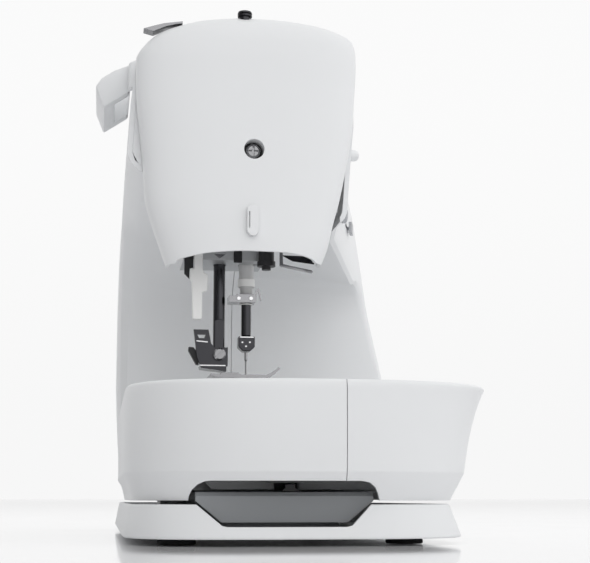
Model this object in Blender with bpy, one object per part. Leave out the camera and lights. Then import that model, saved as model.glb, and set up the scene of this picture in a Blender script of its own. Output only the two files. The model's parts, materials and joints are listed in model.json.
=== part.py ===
"""A free-arm sewing machine as separate parts, in metres with +Z up.

X runs along the machine, from the needle end (-X) to the handwheel (+X). The sewer sits at -Y.
Sizes are written in millimetres and turned to metres where each mesh is made.
"""

import math

import bmesh
import bpy
from mathutils import Vector
from mathutils.geometry import delaunay_2d_cdt

MM = 0.001
GAP = 0.4
WALL = 2.6

BED_TOP = 91.6
BOX_END_X = 65.4
BOW_X = -150.0
BOW_POWER = 2.6
SEAM_Y = -25.0
# Each level of the bed's outer wall: height, left-most X, front Y, rear Y.
BED_LEVELS = (
    (24.6, -219.0, -99.5, 91.0),
    (33.0, -223.2, -104.2, 93.0),
    (40.5, -226.6, -108.1, 96.0),
    (58.0, -227.6, -111.0, 96.6),
    (75.0, -228.0, -115.5, 96.8),
    (87.0, -228.0, -120.2, 96.6),
    (90.2, -227.4, -121.8, 96.1),
    (91.6, -226.0, -120.6, 94.8),
)

BASE_BOTTOM = 3.6
BASE_TOP = 22.5
BASE_FLOOR = 6.6

ARM_SLOT_Y = (-23.2, 67.2)
ARM_SLOT_X = -180.5
COMPARTMENT_FLOOR = 30.5

HEAD_X = -158.0
PILLAR_X = 66.0
RIGHT_X = 203.0
COVER_TOP = 322.0
COVER_BOTTOM = 24.8
PARTING_Y = 10.7
UNDERSIDE_Z = 205.0
UNDERSIDE_SLOPE = 0.22
FILLET_RADIUS = 42.0

NEEDLE_X = -128.0
NEEDLE_Y = 20.8
PRESSER_Y = 38.0
SHAFT_Z = 268.0
SHAFT_RADIUS = 5.0
HOOK_CENTRE = (-130.0, 4.3)
MOTOR_CENTRE = (-20.0, 80.0)
BELT_X = (177.0, 187.0)
BELT_WHEEL_RADIUS = 27.0
MOTOR_PULLEY_RADIUS = 9.0
BUTTON_Z = 222.0
KNOB_X = -50.0
KNOB_Z = 269.0
KNOB_STEM = 2.2
STUD_CENTRE = (-168.0, 27.2)

FACE_EDGE_X = -164.0
FACE_BACK_X = -158.4
# Each level of the face cover: height, rear Y, front Y, how far the nose bulges.
FACE_LEVELS = (
    (140.0, 62.0, -10.0, 17.0),
    (166.5, 74.4, -21.0, 19.0),
    (176.0, 77.8, -24.8, 19.5),
    (192.0, 83.4, -28.6, 19.8),
    (205.0, 87.0, -32.2, 19.6),
    (229.0, 88.9, -37.2, 19.2),
    (253.0, 91.8, -41.2, 18.6),
    (276.0, 93.9, -42.8, 18.0),
    (293.0, 94.1, -43.8, 17.6),
    (302.0, 89.2, -43.7, 16.8),
    (306.4, 85.0, -43.0, 16.0),
    (310.6, 79.4, -41.4, 14.6),
    (315.0, 69.2, -34.5, 12.4),
    (319.2, 56.0, -21.0, 9.0),
    (321.8, 40.0, -5.0, 5.0),
)


def material(name, colour, roughness, metallic=0.0):
    """A plain finish."""
    made = bpy.data.materials.new(name)
    made.use_nodes = True
    shader = made.node_tree.nodes["Principled BSDF"]
    shader.inputs["Base Color"].default_value = (*colour, 1.0)
    shader.inputs["Roughness"].default_value = roughness
    shader.inputs["Metallic"].default_value = metallic
    made.diffuse_color = (*colour, 1.0)
    return made


def clear_scene():
    """Removes what the startup scene holds."""
    for obj in list(bpy.data.objects):
        bpy.data.objects.remove(obj, do_unlink=True)


def make(name, verts, faces, look, origin=(0.0, 0.0, 0.0), smooth=30.0):
    """An object from points in millimetres, with its origin at the given point."""
    start = Vector(origin)
    mesh = bpy.data.meshes.new(name)
    bm = bmesh.new()
    made = [bm.verts.new((Vector(point) - start) * MM) for point in verts]
    for face in faces:
        bm.faces.new([made[index] for index in face])
    bmesh.ops.recalc_face_normals(bm, faces=bm.faces)
    bm.to_mesh(mesh)
    bm.free()
    if smooth:
        mesh.shade_smooth()
        mesh.set_sharp_from_angle(angle=math.radians(smooth))
    obj = bpy.data.objects.new(name, mesh)
    obj.location = start * MM
    if look:
        mesh.materials.append(look)
    bpy.context.scene.collection.objects.link(obj)
    return obj


def loft(rings, closed=False):
    """Points and faces of a skin through rings of equal length, capped at both ends unless closed."""
    count = len(rings[0])
    verts = [point for ring in rings for point in ring]
    faces = []
    spans = len(rings) if closed else len(rings) - 1
    for row in range(spans):
        low = row * count
        high = (row + 1) % len(rings) * count
        for k in range(count):
            after = (k + 1) % count
            faces.append((low + k, low + after, high + after, high + k))
    if not closed:
        faces.append(tuple(range(count)))
        faces.append(tuple(range(len(verts) - count, len(verts))))
    return verts, faces


def place(along, u, v, axis):
    """A point from its place along an axis and the two coordinates across it, in X, Y, Z order."""
    if axis == "X":
        return (along, u, v)
    if axis == "Y":
        return (u, along, v)
    return (u, v, along)


def prism(outline, axis, low, high):
    """A straight block: an outline across an axis, from a low place to a high one."""
    return loft([[place(at, u, v, axis) for u, v in outline] for at in (low, high)])


def box(low, high):
    """A block between two corners."""
    outline = [(low[1], low[2]), (high[1], low[2]), (high[1], high[2]), (low[1], high[2])]
    return prism(outline, "X", low[0], high[0])


def circle(centre, radius, segments=24, turn=0.0):
    """Points round a circle, anticlockwise."""
    steps = [turn + 2 * math.pi * k / segments for k in range(segments)]
    return [(centre[0] + radius * math.cos(a), centre[1] + radius * math.sin(a)) for a in steps]


def capsule(centre, half, radius, steps=8):
    """An upright slot outline with round ends."""
    outline = []
    for way in (1, -1):
        for k in range(steps + 1):
            turn = math.pi * k / steps
            across = way * radius * math.cos(turn)
            outline.append((centre[0] + across, centre[1] + way * (half + radius * math.sin(turn))))
    return outline


def turned(profile, axis, centre, segments=24, closed=False):
    """A solid of revolution from (along, radius) steps round an axis through the centre."""
    rings = []
    for along, radius in profile:
        rings.append([place(along, u, v, axis) for u, v in circle(centre, radius, segments)])
    return loft(rings, closed)


def hidden(name, shape):
    """A tool for a Boolean, which isn't a part."""
    obj = make(name, *shape, None, smooth=None)
    obj.hide_render = True
    obj.display_type = "WIRE"
    return obj


def combine(obj, operation, shapes):
    """Adds to the object, or takes from it, each of the shapes in turn."""
    for number, shape in enumerate(shapes):
        tool = hidden(f"{obj.name}_{operation.lower()}_{number}", shape)
        step = obj.modifiers.new(f"{operation.lower()}_{number}", "BOOLEAN")
        step.operation = operation
        step.solver = "EXACT"
        step.object = tool


def round_edges(obj, width, segments=2, angle=40.0):
    """Rounds the edges sharper than an angle."""
    bevel = obj.modifiers.new("edges", "BEVEL")
    bevel.width = width * MM
    bevel.segments = segments
    bevel.limit_method = "ANGLE"
    bevel.angle_limit = math.radians(angle)
    bevel.use_clamp_overlap = True


def between(table, at, column):
    """A column of a table read at a height, straight between its rows and level beyond them."""
    if at <= table[0][0]:
        return table[0][column]
    for low, high in zip(table, table[1:]):
        if at <= high[0]:
            part = (at - low[0]) / (high[0] - low[0])
            return low[column] + part * (high[column] - low[column])
    return table[-1][column]


def bowed_x(y, x_left, y_front, y_rear):
    """X of the bed's bowed end at a given Y."""
    middle = (y_front + y_rear) / 2
    half = (y_rear - y_front) / 2
    across = min(1.0, abs(y - middle) / half)
    return BOW_X - (BOW_X - x_left) * (1 - across**BOW_POWER) ** (1 / BOW_POWER)


def wall_station(level, y):
    """The bed's outer wall at one level and one Y."""
    z, x_left, y_front, y_rear = level
    return Vector((bowed_x(y, x_left, y_front, y_rear), y, z))


def bed_wall(side, thickness):
    """The bed's outer wall on one side of the seam, as vertical sections from the seam round the corner."""
    turns = [math.radians(a) for a in (0, 16, 30, 42, 52, 61, 69, 76, 82, 86, 90)]
    seam = SEAM_Y + side * GAP / 2
    rings = []
    for turn in turns:
        outer = []
        for level in BED_LEVELS:
            edge = level[3] if side > 0 else level[2]
            outer.append(wall_station(level, seam + (edge - seam) * math.sin(turn)))
        rings.append(outer)
    rings.append([Vector((BOX_END_X, ring.y, ring.z)) for ring in rings[-1]])
    return [ring + offset_ring(rings, k, thickness)[::-1] for k, ring in enumerate(rings)]


def offset_ring(rings, k, thickness):
    """One section's inner points, moved square to the wall's run in plan."""
    before = rings[max(k - 1, 0)]
    after = rings[min(k + 1, len(rings) - 1)]
    moved = []
    for start, end, point in zip(before, after, rings[k]):
        run = Vector((end.x - start.x, end.y - start.y, 0.0)).normalized()
        normal = Vector((-run.y, run.x, 0.0))
        inward = Vector((BOX_END_X, SEAM_Y, point.z)) - point
        if normal.dot(inward) < 0:
            normal.negate()
        moved.append(point + normal * thickness)
    return moved


def plan_path(level, inset, low_y, high_y, count=12):
    """Points of the bed's bowed end in plan, drawn in by an inset, from the front to the rear."""
    _, x_left, y_front, y_rear = level
    front = y_front + inset
    rear = y_rear - inset
    middle = (front + rear) / 2
    half = (rear - front) / 2
    path = []
    for k in range(count + 1):
        y = middle - half * math.cos(math.pi * k / count)
        if low_y <= y <= high_y:
            path.append((bowed_x(y, x_left + inset, front, rear), y))
    return path


def grip_cutter():
    """The finger grip below the bed's left end."""
    outline = [
        (62.0, 15.0), (61.0, 27.0), (59.5, 30.5), (56.5, 33.4), (53.0, 35.0), (50.0, 35.4),
        (-34.0, 35.4), (-38.5, 34.6), (-42.0, 32.0), (-44.0, 28.5), (-45.5, 24.0), (-46.0, 15.0),
    ]
    return prism(outline, "X", -250.0, -200.0)


def base_outline(z, inset, count=20):
    """The base's plan at a height: a bowed left end and a right end with round corners."""
    part = (z - BASE_BOTTOM) / (BASE_TOP - BASE_BOTTOM)
    x_left = -226.5 + 8.0 * part + inset
    front = -103.6 + 6.4 * part + inset
    rear = 96.4 - 3.4 * part - inset
    right = 217.0 - 5.0 * part - inset
    middle = (front + rear) / 2
    half = (rear - front) / 2
    power = 3.2
    outline = []
    for k in range(count + 1):
        turn = math.pi / 2 - math.pi * k / count
        bow = abs(math.cos(turn)) ** (2 / power) if 0 < k < count else 0.0
        side = math.copysign(abs(math.sin(turn)) ** (2 / power), math.sin(turn))
        outline.append((BOW_X - (BOW_X - x_left) * bow, middle + half * side, z))
    corner = 20.0 - inset
    for start, y in ((-90, front + corner), (0, rear - corner)):
        for k in range(4):
            turn = math.radians(start + 30 * k)
            outline.append((right - corner + corner * math.cos(turn), y + corner * math.sin(turn), z))
    return outline


def build_base(looks):
    """The base tray with its finger notch, the liner inside it, the box catch and the feet."""
    rings = [
        base_outline(BASE_BOTTOM, 1.2), base_outline(BASE_BOTTOM + 1.0, 0.0),
        base_outline(BASE_TOP - 0.6, 0.0), base_outline(BASE_TOP, 0.6),
        base_outline(BASE_TOP, WALL), base_outline(BASE_FLOOR, WALL),
    ]
    tray = make("base_tray", *loft(rings), looks["base_white"])
    notch = [
        (60.5, 26.0), (58.0, 23.2), (43.5, 11.0), (40.5, 10.3), (-25.5, 10.3), (-28.5, 11.0),
        (-44.0, 26.0),
    ]
    combine(tray, "DIFFERENCE", [prism(notch, "X", -250.0, -200.0)])

    def liner(x, top, drop):
        rim = [(57.5, top), (57.5, 24.4), (43.0, drop), (-28.0, drop), (-42.5, 24.4), (-42.5, top)]
        return [(x, y, z) for y, z in rim]

    rings = [liner(-212.0, 27.0, 12.6), liner(-209.8, 29.3, 12.6), liner(56.0, 29.3, 12.6)]
    plinth = make("inner_base", *loft(rings), looks["liner_grey"])
    combine(plinth, "UNION", [box((-192.0, -26.0, BASE_FLOOR + GAP), (54.0, 41.0, 14.0))])
    combine(plinth, "DIFFERENCE", [box((-189.0, -23.0, 0.0), (51.0, 38.0, 26.0))])

    catch = [(8.5, 29.7), (6.6, 31.6), (6.6, 33.6), (1.0, 33.6), (1.0, 31.6), (-1.6, 29.7)]
    make("box_catch", *prism(catch, "X", -206.0, -200.5), looks["dark_plastic"])
    for number, (x, y) in enumerate(((-186.0, 66.0), (-186.0, -66.0), (190.0, 70.0), (190.0, -76.0)), 1):
        profile = [(0.0, 10.2), (0.6, 11.0), (2.2, 11.0), (BASE_BOTTOM - 0.3, 9.6)]
        make(f"foot_{number}", *turned(profile, "Z", (x, y), 16), looks["rubber_black"])


def build_box(looks):
    """The slide-off accessory box that wraps the free arm, and its swinging front door."""
    box_shell = make("accessory_box", *loft(bed_wall(1, WALL)), looks["shell_white"])
    inner_front, inner_rear = ARM_SLOT_Y
    level = BED_LEVELS[-1]
    front_edge = plan_path(level, WALL + 3.5 * GAP, level[2], SEAM_Y - 1.0)
    rear_edge = plan_path(level, 0.8, SEAM_Y + 1.0, level[3])
    deck = [(BOX_END_X, front_edge[0][1])] + front_edge + rear_edge + [(BOX_END_X, rear_edge[-1][1])]
    deck += [(BOX_END_X, inner_rear), (ARM_SLOT_X, inner_rear)]
    deck += [(ARM_SLOT_X, inner_front), (BOX_END_X, inner_front)]
    thick = 2.4
    cheek = [
        (BOX_END_X, inner_front), (ARM_SLOT_X, inner_front), (ARM_SLOT_X, inner_rear),
        (BOX_END_X, inner_rear),
        (BOX_END_X, inner_rear + thick), (ARM_SLOT_X - thick, inner_rear + thick),
        (ARM_SLOT_X - thick, inner_front - thick), (BOX_END_X, inner_front - thick),
    ]
    panel = [(47.0, 31.0), (52.0, 36.5), (52.0, 89.6), (-54.0, 89.6), (-54.0, 36.5), (-50.0, 31.0)]
    front_floor = [
        (-187.0, inner_front - 1), (-187.0, -82.0), (-165.0, -93.5), (BOX_END_X, -93.5),
        (BOX_END_X, inner_front - 1),
    ]
    rear_floor = [(-160.0, inner_rear + 1), (-160.0, 91.0), (BOX_END_X, 91.0), (BOX_END_X, inner_rear + 1)]
    floor_top = COMPARTMENT_FLOOR + 2.4
    combine(box_shell, "UNION", [
        prism(deck, "Z", 88.6, BED_TOP),
        prism(cheek, "Z", COMPARTMENT_FLOOR, 89.8),
        prism(panel, "X", -189.0, -186.4),
        prism(front_floor, "Z", COMPARTMENT_FLOOR, floor_top),
        prism(rear_floor, "Z", COMPARTMENT_FLOOR, floor_top),
    ])
    combine(box_shell, "DIFFERENCE", [grip_cutter(), box((-195.0, -4.0, 20.0), (-175.0, 11.0, 34.6))])
    origin = (-228.4, SEAM_Y, 60.0)
    door = make("box_door", *loft(bed_wall(-1, WALL)), looks["shell_white"], origin)
    combine(door, "DIFFERENCE", [grip_cutter()])


def arm_plan(z, inset, right=BOX_END_X):
    """The free arm's plan at a height: straight sides and a round left end."""
    front = ARM_SLOT_Y[0] + 1.6 + inset
    rear = ARM_SLOT_Y[1] - 1.6 - inset
    middle = (front + rear) / 2
    half = (rear - front) / 2
    left = ARM_SLOT_X + 2.5 + inset
    outline = [(right, rear, z)]
    for k in range(11):
        turn = math.pi / 2 - math.pi * k / 10
        bow = abs(math.cos(turn)) ** 0.5 if 0 < k < 10 else 0.0
        side = math.copysign(abs(math.sin(turn)) ** 0.5, math.sin(turn))
        outline.append((left + 24.0 * (1 - bow), middle + half * side, z))
    outline.append((right, front, z))
    return outline


def build_free_arm(looks):
    """The free arm's cover, the needle plate and the bobbin cover."""
    rings = [
        arm_plan(42.0, 9.0), arm_plan(44.0, 5.0), arm_plan(52.0, 0.0),
        arm_plan(BED_TOP - 3.0, 0.0), arm_plan(BED_TOP - 0.9, 1.0), arm_plan(BED_TOP, 3.0),
    ]
    hollow = [
        arm_plan(30.0, 11.4, 80.0), arm_plan(42.5, 11.4, 80.0), arm_plan(45.4, 6.5, 80.0),
        arm_plan(53.0, WALL, 80.0), arm_plan(BED_TOP - 2.8, WALL, 80.0),
    ]
    cover = make("free_arm_cover", *loft(rings), looks["shell_white"])
    combine(cover, "DIFFERENCE", [
        loft(hollow),
        box((-168.4, 14.6, 80.0), (-91.6, 60.4, 100.0)),
        box((-152.4, -18.4, 80.0), (-105.6, 15.0, 100.0)),
    ])
    plate = make("needle_plate", *box((-168.0, 15.0, 90.2), (-92.0, 60.0, BED_TOP)), looks["steel_brushed"])
    slots = [box((-131.6, 19.8, 85.0), (-124.4, 21.8, 95.0))]
    for x in (-135.0, -128.0, -121.0):
        slots.append(box((x - 1.6, 25.0, 85.0), (x + 1.6, 49.0, 95.0)))
    combine(plate, "DIFFERENCE", slots)
    lid = [(-152.0, -18.0), (-106.0, -18.0), (-106.0, 14.6), (-152.0, 14.6)]
    make("bobbin_cover", *prism(lid, "Z", 90.2, BED_TOP), looks["clear_plastic"])


def build_hook(looks):
    """The rotary hook under the bobbin cover, with its case, bobbin, shaft and the feed dogs."""
    x, y = HOOK_CENTRE
    hook = [(57.0, 5.0), (60.0, 5.0), (60.0, 15.5), (84.0, 15.5), (84.0, 14.1), (62.2, 14.1)]
    make("rotary_hook", *turned(hook, "Z", (x, y), 28), looks["steel_brushed"], (x, y, 57.0))
    case = [(62.6, 13.6), (86.6, 13.6), (86.6, 10.6), (65.0, 10.6)]
    make("bobbin_case", *turned(case, "Z", (x, y), 28), looks["dark_plastic"])
    reel = [
        (66.0, 9.8), (67.2, 9.8), (67.2, 4.2), (76.8, 4.2), (76.8, 9.8), (78.0, 9.8), (78.0, 2.8),
        (66.0, 2.8),
    ]
    make("bobbin", *turned(reel, "Z", (x, y), 24, closed=True), looks["clear_plastic"], (x, y, 66.0))
    carrier = box((-138.0, 26.5, 82.0), (-118.0, 47.5, 85.0))
    dogs = make("feed_dogs", *carrier, looks["steel_brushed"], (NEEDLE_X, 37.0, 83.0))
    bars = []
    for bar_x in (-135.0, -128.0, -121.0):
        comb = [(27.0, 84.0)]
        for k in range(6):
            comb += [(27.0 + 3.3 * k, 90.2), (28.6 + 3.3 * k, 91.2)]
        comb += [(47.0, 90.2), (47.0, 84.0)]
        bars.append(prism(comb, "X", bar_x - 1.1, bar_x + 1.1))
    combine(dogs, "UNION", bars)
    profile = [(-150.0, 3.4), (-149.4, 4.0), (129.4, 4.0), (130.0, 3.4)]
    make("lower_shaft", *turned(profile, "X", (y, 52.0), 16), looks["steel_brushed"], (0.0, y, 52.0))


# Height and Y of the covers' surface: the front at the head, the front at the pillar, and the rear.
HEAD_FRONT = (
    (191.0, -36.7), (213.5, -39.1), (233.0, -41.1), (252.5, -42.1), (263.7, -43.3),
    (276.0, -44.7), (322.0, -42.0),
)
PILLAR_FRONT = (
    (24.6, -98.3), (40.5, -107.2), (58.0, -110.4), (80.0, -115.2), (92.0, -116.8),
    (152.0, -103.6), (182.0, -96.6), (225.0, -89.9), (270.0, -83.2), (322.0, -77.0),
)
REAR = (
    (24.6, 86.0), (40.5, 94.6), (89.0, 95.2), (93.0, 97.6), (118.0, 98.2), (174.0, 98.6),
    (232.0, 98.0), (277.0, 95.9), (300.0, 94.5), (322.0, 91.5),
)


def front_y(x, z):
    """Y of the front surface: it swells forward from the head to the pillar, and flares towards the bed."""
    part = min(1.0, max(0.0, (x + 110.0) / 176.0))
    head = between(HEAD_FRONT, z, 1)
    return head + (between(PILLAR_FRONT, z, 1) - head) * part


def cover_outline():
    """The arm and pillar seen from the front, anticlockwise from the underside of the head."""
    centre = (PILLAR_X - FILLET_RADIUS, UNDERSIDE_Z - FILLET_RADIUS)
    fillet = [math.radians(a) for a in (90, 72, 54, 36, 18, 0)]
    outline = [(x, UNDERSIDE_Z) for x in (-172.0, -130.0, -97.0, -60.0, -20.0)]
    for turn in fillet:
        outline.append(
            (centre[0] + FILLET_RADIUS * math.cos(turn), centre[1] + FILLET_RADIUS * math.sin(turn)),
        )
    outline += [(PILLAR_X, z) for z in (118.0, 92.0, 58.0, 40.5, COVER_BOTTOM)]
    outline += [(134.0, COVER_BOTTOM)]
    outline += [(RIGHT_X, z) for z in (COVER_BOTTOM, 40.5, 58.0, 92.0, 118.0, 200.0, 270.0)]
    corner = 15.0
    for a in (0, 30, 60, 90):
        turn = math.radians(a)
        outline.append(
            (RIGHT_X - corner + corner * math.cos(turn), COVER_TOP - corner + corner * math.sin(turn)),
        )
    outline += [(x, COVER_TOP) for x in (130.0, 66.0, 10.0, -50.0, -110.0, -172.0)]
    outline += [(-172.0, 262.0)]
    return outline


def drawn_in(outline, distance):
    """An anticlockwise outline moved inwards, with mitred corners."""
    moved = []
    for k, point in enumerate(outline):
        here = Vector(point)
        before = (here - Vector(outline[k - 1])).normalized()
        after = (Vector(outline[(k + 1) % len(outline)]) - here).normalized()
        one = Vector((-before.y, before.x))
        two = Vector((-after.y, after.x))
        moved.append(here + (one + two) * (distance / (1 + one.dot(two))))
    return moved


def inside(point, outline):
    """Whether a point lies in an outline."""
    crossed = False
    for k, (x1, z1) in enumerate(outline):
        x0, z0 = outline[k - 1]
        if (z0 > point[1]) != (z1 > point[1]):
            crossed ^= point[0] < x0 + (point[1] - z0) * (x1 - x0) / (z1 - z0)
    return crossed


def settle(x, y, z):
    """The finished place of a cover point: the top is arched, and the arm's underside slopes to the front."""
    drop = 7.0 * ((y - 18.0) / 50.0) ** 2
    top = min(1.0, max(0.0, (z - 250.0) / (COVER_TOP - 250.0)))
    along = min(1.0, max(0.0, (PILLAR_X - x) / FILLET_RADIUS))
    low = min(1.0, max(0.0, (COVER_TOP - z) / (COVER_TOP - UNDERSIDE_Z)))
    return (x, y, z - drop * top + UNDERSIDE_SLOPE * (y - 10.0) * along * low)


def cover_skin(side, radius):
    """The open skin of one cover: its broad face, a round edge, and a wall back to the parting line."""
    outline = cover_outline()
    rim = drawn_in(outline, radius)
    grid = []
    for x in range(-150, 200, 27):
        for z in (58, 92, 118, 144, 172, 200, 225, 247, 270, 292):
            if inside((x, z), drawn_in(outline, radius + 9.0)):
                grid.append(Vector((x, z)))
    edges = [(k, (k + 1) % len(rim)) for k in range(len(rim))]
    points, _, faces, origins, _, _ = delaunay_2d_cdt(rim + grid, edges, [], 1, 0.001)
    place_of = {}
    for number, sources in enumerate(origins):
        for source in sources:
            place_of[source] = number

    def surface(x, z):
        return between(REAR, z, 1) if side > 0 else front_y(x, z)

    verts = [settle(p.x, surface(p.x, p.y), p.y) for p in points]
    loop = [place_of[k] for k in range(len(rim))]
    faces = [tuple(face) for face in faces]
    rows = []
    for turn in (30, 60, 90):
        shift = radius * (1 - math.sin(math.radians(turn)))
        depth = radius * (1 - math.cos(math.radians(turn)))
        rows.append([(p.x, surface(p.x, p.y) - side * depth, p.y) for p in drawn_in(outline, shift)])
    rows.append([(x, PARTING_Y - side * 4.0, z) for x, z in outline])
    for row in rows:
        start = len(verts)
        verts += [settle(*point) for point in row]
        after = list(range(start, len(verts)))
        for k in range(len(loop)):
            n = (k + 1) % len(loop)
            faces.append((loop[k], loop[n], after[n], after[k]))
        loop = after
    return verts, faces


def build_cover(name, side, radius, looks, openings, extras=()):
    """One half of the arm and pillar shell, hollow, cut flat at the parting line."""
    cover = make(name, *cover_skin(side, radius), looks["shell_white"])
    mesh = cover.data
    if sum(face.normal.y * side for face in mesh.polygons if face.area > 1e-4) < 0:
        mesh.flip_normals()
    shell = cover.modifiers.new("wall", "SOLIDIFY")
    shell.thickness = 3.0 * MM
    shell.offset = -1.0
    shell.use_even_offset = True
    if extras:
        combine(cover, "UNION", extras)
    edge = PARTING_Y + side * 0.15
    beyond = box((-300.0, min(edge, -200.0 * side), 0.0), (300.0, max(edge, -200.0 * side), 400.0))
    combine(cover, "DIFFERENCE", [beyond] + openings)


def build_covers(looks):
    """The front and rear halves of the shell, and the carrying handle behind."""
    shared = [
        box((-220.0, -200.0, 100.0), (HEAD_X, 200.0, 400.0)),
        box((-200.0, -34.5, 150.0), (-97.0, 78.0, 290.0)),
        box((70.0, -88.0, 10.0), (199.0, 80.0, 40.0)),
        box((55.0, -18.0, 44.0), (75.0, 62.0, 88.0)),
    ]
    holes = [
        prism(circle((-85.0, BUTTON_Z), 7.5, 20), "Y", -90.0, -30.0),
        prism(circle((-62.0, BUTTON_Z), 6.0, 20), "Y", -90.0, -30.0),
        box((-122.7, -70.0, 206.0), (-117.3, -30.0, 303.0)),
        box((-139.6, -70.0, 206.0), (-136.4, -30.0, 303.0)),
        box((-36.5, -90.0, 220.4), (0.5, -45.0, 223.6)),
        prism(circle((KNOB_X, KNOB_Z), KNOB_STEM + 0.6, 16), "Y", -80.0, -45.0),
    ]
    build_cover("front_cover", -1, 7.0, looks, shared + holes)
    outlets = [
        prism(circle((NEEDLE_Y, SHAFT_Z), 7.0, 20), "X", 190.0, 210.0),
        box((195.0, 20.6, 58.6), (215.0, 35.4, 79.4)),
        box((195.0, 45.6, 57.6), (215.0, 72.4, 80.4)),
        prism(circle((84.0, 69.0), 6.5, 20), "X", 195.0, 215.0),
        box((11.4, 17.4, 296.0), (148.6, 70.6, 330.0)),
    ]
    end_cap = [
        (79.0, 221.6), (85.0, 223.4), (91.0, 228.0), (95.0, 236.0), (95.2, 262.0), (93.0, 280.0),
        (87.0, 291.0), (79.0, 296.0),
    ]
    build_cover("rear_cover", 1, 14.0, looks, shared + outlets, [prism(end_cap, "X", -157.8, -155.0)])
    grip = [(95.6, 305.8), (107.4, 300.5), (115.2, 295.0), (119.0, 289.3), (113.4, 275.2), (97.0, 286.4)]
    gap = [(90.0, 312.0), (109.8, 300.5), (103.8, 268.0), (90.0, 268.0)]
    handle = make("carrying_handle", *prism(grip, "X", -120.0, -59.0), looks["shell_white"])
    combine(handle, "DIFFERENCE", [prism(gap, "X", -110.5, -68.5)])
    round_edges(handle, 1.2)


def face_ring(level, inset=0.0, back=FACE_BACK_X, count=14):
    """One level of the face cover: a rounded nose between two straight ends."""
    z, rear, front, bulge = level
    rear -= inset
    front += inset
    middle = (front + rear) / 2
    half = (rear - front) / 2
    power = 2 / 2.5
    ring = [(back, rear, z)]
    for k in range(count + 1):
        turn = math.pi / 2 - math.pi * k / count
        bow = abs(math.cos(turn)) ** power if 0 < k < count else 0.0
        side = math.copysign(abs(math.sin(turn)) ** power, math.sin(turn))
        ring.append((FACE_EDGE_X + inset - bulge * bow, middle + half * side, z))
    ring.append((back, front, z))
    return ring


def build_face(looks):
    """The cover on the needle end, open at the back and below, with its screw and thread cutter."""
    cover = make("face_cover", *loft([face_ring(level) for level in FACE_LEVELS]), looks["shell_white"])
    hollow = [face_ring((120.0, *FACE_LEVELS[0][1:]), WALL, -140.0)]
    for z, rear, front, bulge in FACE_LEVELS[:-1]:
        hollow.append(face_ring((z - (WALL if z > 295.0 else 0.0), rear, front, bulge), WALL, -140.0))
    rim = [
        (120.0, 100.0), (120.0, 163.7), (68.8, 163.9), (67.4, 165.8), (62.4, 167.2), (48.0, 169.9),
        (26.0, 171.3), (4.0, 171.1), (-7.6, 169.8), (-14.9, 167.8), (-16.8, 166.3), (-70.0, 166.0),
        (-70.0, 100.0),
    ]
    combine(cover, "DIFFERENCE", [
        loft(hollow),
        prism(rim, "X", -250.0, -130.0),
        prism(circle((22.5, 234.0), 6.2, 20), "X", -250.0, -150.0),
        prism(circle(STUD_CENTRE, 3.8, 16), "Z", 300.0, 330.0),
    ])
    head = [(-178.2, 3.2), (-177.4, 4.4), (-174.2, 4.4), (-174.2, 2.0), (-158.0, 2.0)]
    screw = make("face_cover_screw", *turned(head, "X", (22.5, 234.0), 20), looks["chrome"])
    combine(screw, "DIFFERENCE", [
        box((-182.0, 21.9, 231.0), (-176.4, 23.1, 237.0)),
        box((-182.0, 19.5, 233.4), (-176.4, 25.5, 234.6)),
    ])
    pill = capsule((23.4, 189.4), 6.0, 3.5)
    cutter = make("thread_cutter", *prism(pill, "X", -187.0, -184.2), looks["shell_white"])
    combine(cutter, "DIFFERENCE", [box((-188.0, 25.2, 184.4), (-185.4, 26.0, 194.4))])


def build_frame(looks):
    """The cast frame: a C of head, arm, column and bed beams with bored bosses."""
    web = [
        (-146.0, 172.0), (-106.0, 172.0), (-106.0, 236.0), (110.0, 236.0), (110.0, 70.0), (-150.0, 70.0),
        (-150.0, 56.0), (110.0, 56.0), (110.0, BASE_FLOOR + GAP), (168.0, BASE_FLOOR + GAP),
        (168.0, 256.0), (-112.0, 256.0), (-112.0, 300.0), (-146.0, 300.0),
    ]
    frame = make("frame_casting", *prism(web, "Y", 50.0, 62.0), looks["cast_aluminium"])
    combine(frame, "UNION", [
        box((-146.0, 11.0, 172.0), (-108.0, 51.0, 190.0)),
        box((-140.0, 14.0, 268.0), (-114.0, 51.0, 282.0)),
        box((-98.0, 12.0, 250.0), (-86.0, 51.0, 279.0)),
        box((150.0, 12.0, 250.0), (162.0, 51.0, 279.0)),
    ])
    combine(frame, "DIFFERENCE", [
        prism(circle((NEEDLE_X, NEEDLE_Y), 5.5, 20), "Z", 160.0, 200.0),
        prism(circle((NEEDLE_X, NEEDLE_Y), 3.7, 20), "Z", 255.0, 310.0),
        prism(circle((NEEDLE_X, PRESSER_Y), 4.3, 20), "Z", 160.0, 310.0),
        prism(circle((NEEDLE_Y, SHAFT_Z), SHAFT_RADIUS + 0.5, 20), "X", -110.0, 170.0),
        box((NEEDLE_X - 7.6, 5.0, 165.0), (NEEDLE_X - 2.6, 17.4, 176.0)),
    ])


def belt_path(extra, steps=14):
    """The belt's run round the motor pulley and the wheel on the main shaft."""
    small = Vector(MOTOR_CENTRE)
    large = Vector((NEEDLE_Y, SHAFT_Z))
    run = large - small
    heading = math.atan2(run.y, run.x)
    radii = (MOTOR_PULLEY_RADIUS + extra, BELT_WHEEL_RADIUS + extra)
    spread = math.acos((radii[0] - radii[1]) / run.length)
    path = []
    for centre, radius, start, sweep in (
        (large, radii[1], heading - spread, 2 * spread),
        (small, radii[0], heading + spread, 2 * (math.pi - spread)),
    ):
        for k in range(steps + 1):
            turn = start + sweep * k / steps
            path.append((centre.x + radius * math.cos(turn), centre.y + radius * math.sin(turn)))
    return path


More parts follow.
